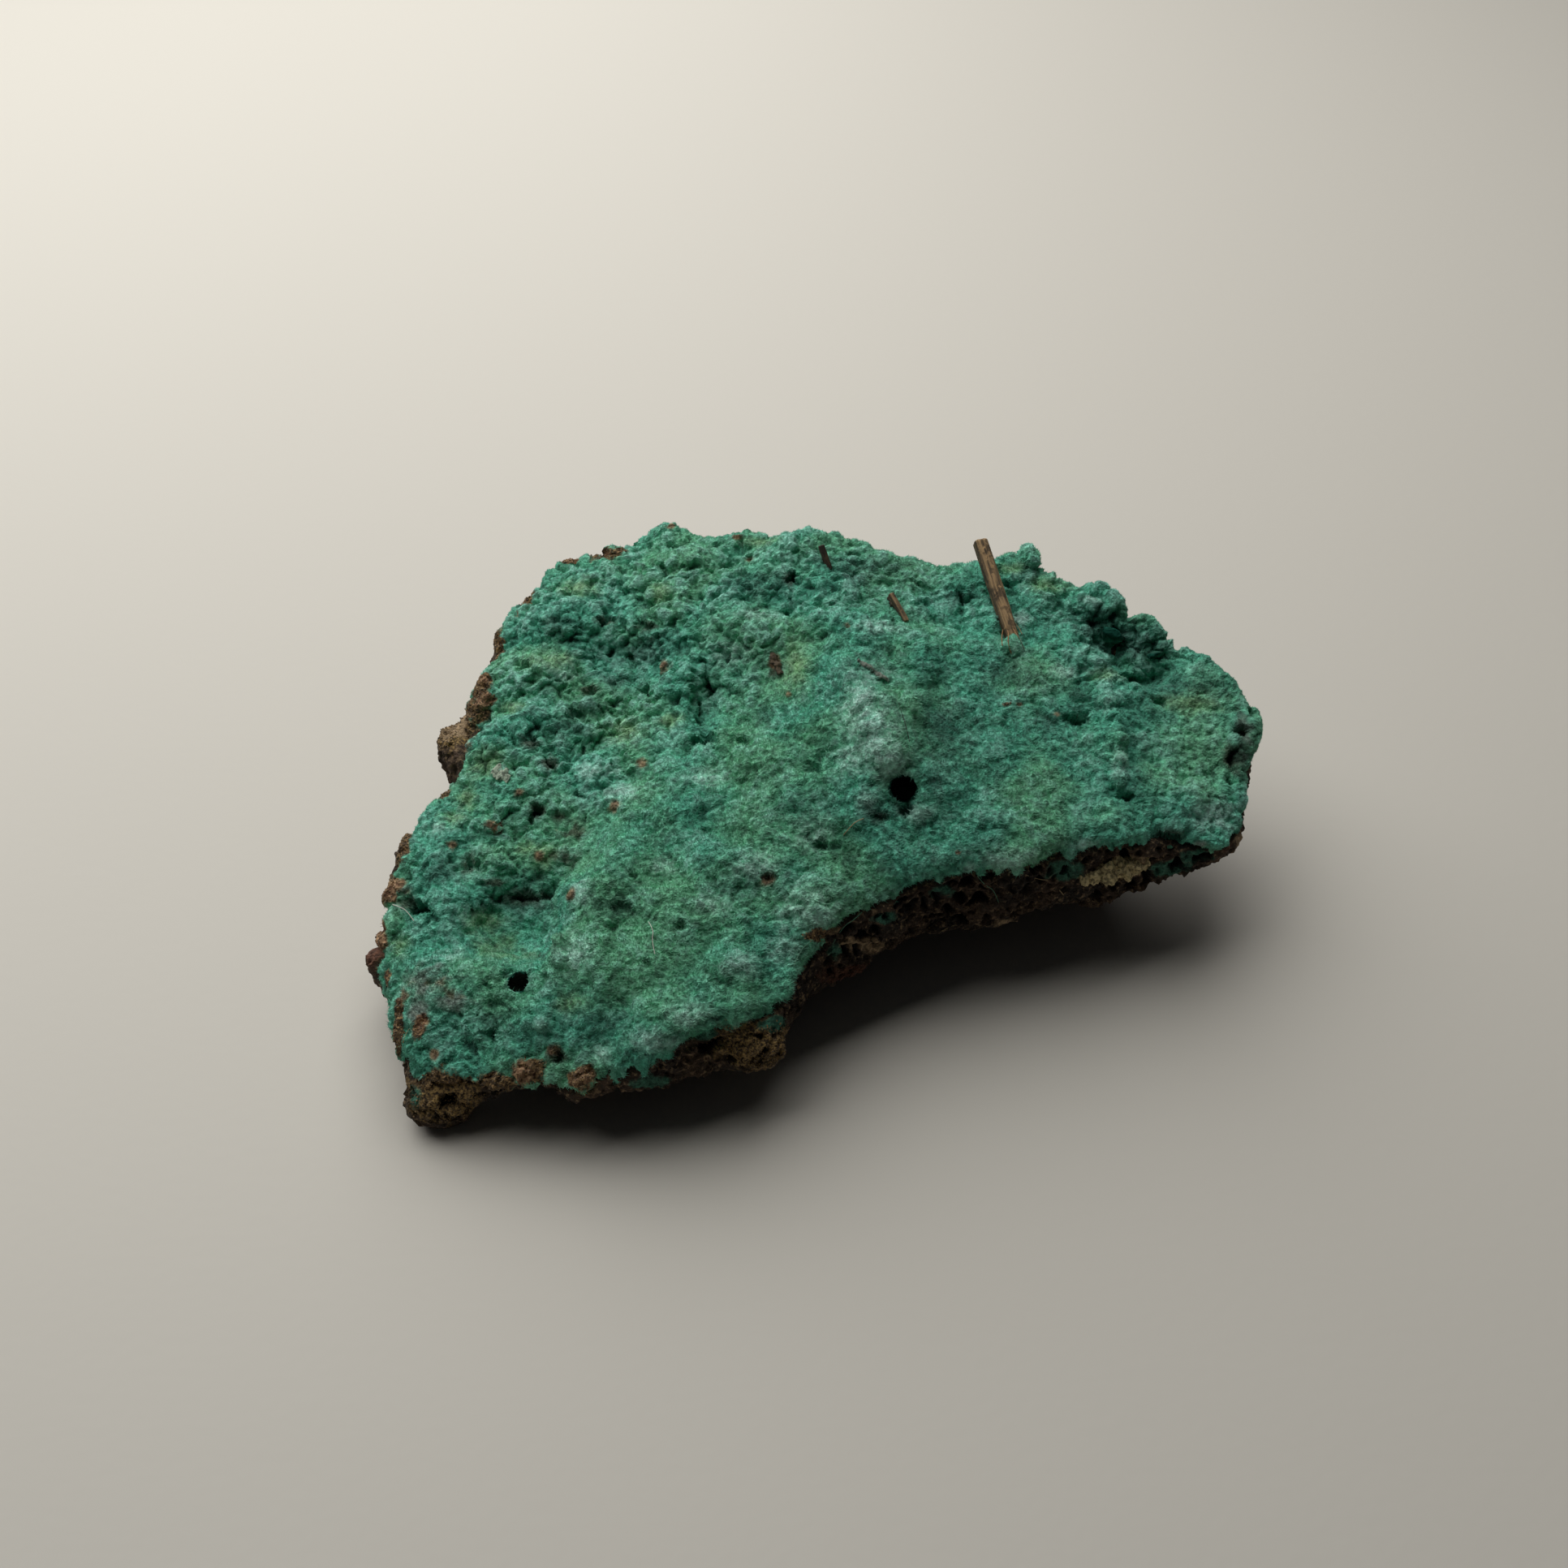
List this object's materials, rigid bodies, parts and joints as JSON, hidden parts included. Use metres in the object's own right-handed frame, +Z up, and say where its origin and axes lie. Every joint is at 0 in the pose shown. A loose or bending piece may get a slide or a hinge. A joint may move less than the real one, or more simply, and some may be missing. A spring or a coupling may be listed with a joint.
{
  "type": "brochantite specimen",
  "caption": "Loose hand specimen: a lumpy green brochantite crust on a broken piece of brown gossan, with woody splinters caught in the crust.",
  "frame": {"origin": "middle of the overall box in plan, on the surface that the specimen lies on", "axes": "+X to the right along the longest side, +Y to the rear, +Z up, as the specimen lies with its crust upwards"},
  "size_m": [0.0564, 0.0428, 0.0177],
  "materials": {
    "green_crust": "matt velvety crust of fine needles over small rounded nodules, blue green with paler crests",
    "brown_gossan": "rough cellular iron oxide rock, dark rusty brown with tan ledges",
    "weathered_wood": "dry grey brown fibre, dark along the edges"
  },
  "bodies": {
    "root": {"brochantite_crust": "green_crust", "gossan_matrix": "brown_gossan", "long_splinter": "weathered_wood", "short_splinter": "weathered_wood", "thorn": "weathered_wood"}
  },
  "joints": []
}
